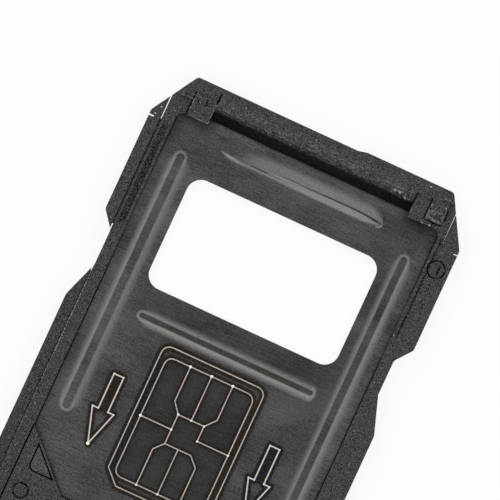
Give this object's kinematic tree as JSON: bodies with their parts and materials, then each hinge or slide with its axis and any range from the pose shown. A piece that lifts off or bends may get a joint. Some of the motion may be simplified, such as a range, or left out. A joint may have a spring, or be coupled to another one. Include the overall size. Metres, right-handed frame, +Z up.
{
  "type": "sim card tray",
  "caption": "Slim tray for a nano-size SIM card: moulded frame with clips, notched side wings and a pressed floor plate with a window, closed by a face cap with a pin hole.",
  "frame": {"origin": "on the resting plane, under the middle of the tray's bounding box", "axes": "+X across the tray, +Y along it towards the end that goes in first, +Z up, the side that the card is laid in from"},
  "size_m": [0.0134, 0.0166, 0.0019],
  "materials": {
    "frame_plastic": "spark-eroded matt black",
    "plate_steel": "black-coated, finely brushed across the tray, laser-marked",
    "cap_plastic": "fine satin black"
  },
  "bodies": {
    "root": {"tray_frame": "frame_plastic", "floor_plate": "plate_steel", "face_cap": "cap_plastic"}
  },
  "joints": []
}
